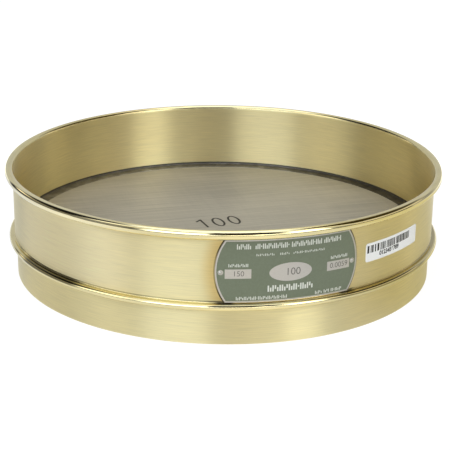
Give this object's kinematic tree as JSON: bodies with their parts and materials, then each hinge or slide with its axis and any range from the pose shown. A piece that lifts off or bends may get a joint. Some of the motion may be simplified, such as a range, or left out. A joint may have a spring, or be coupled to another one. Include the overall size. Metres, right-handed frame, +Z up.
{
  "type": "test sieve",
  "caption": "Round brass test sieve with a fine wire cloth, a rolled rim, a skirt that nests in the sieve below, and an etched plate on its front.",
  "frame": {"origin": "the centre of the sieve, on the surface that it stands on", "axes": "+Z up along the sieve's axis; the middle of the plate faces -Y"},
  "size_m": [0.3174, 0.3174, 0.0794],
  "materials": {
    "frame_brass": "brushed round the wall, polished on the rim and the bead",
    "skirt_brass": "brushed round the wall",
    "wire_cloth": "fine woven stainless wire",
    "solder": "dull soft solder",
    "plate_metal": "satin",
    "plate_enamel": "satin baked enamel",
    "pin_metal": "plain",
    "label_paper": "smooth paper"
  },
  "bodies": {
    "root": {"upper_frame": "frame_brass", "skirt": "skirt_brass", "sieve_cloth": "wire_cloth", "solder_fillet": "solder", "name_plate": "plate_metal", "plate_enamel": "plate_enamel", "plate_pin_left": "pin_metal", "plate_pin_right": "pin_metal", "stock_label": "label_paper"}
  },
  "joints": []
}
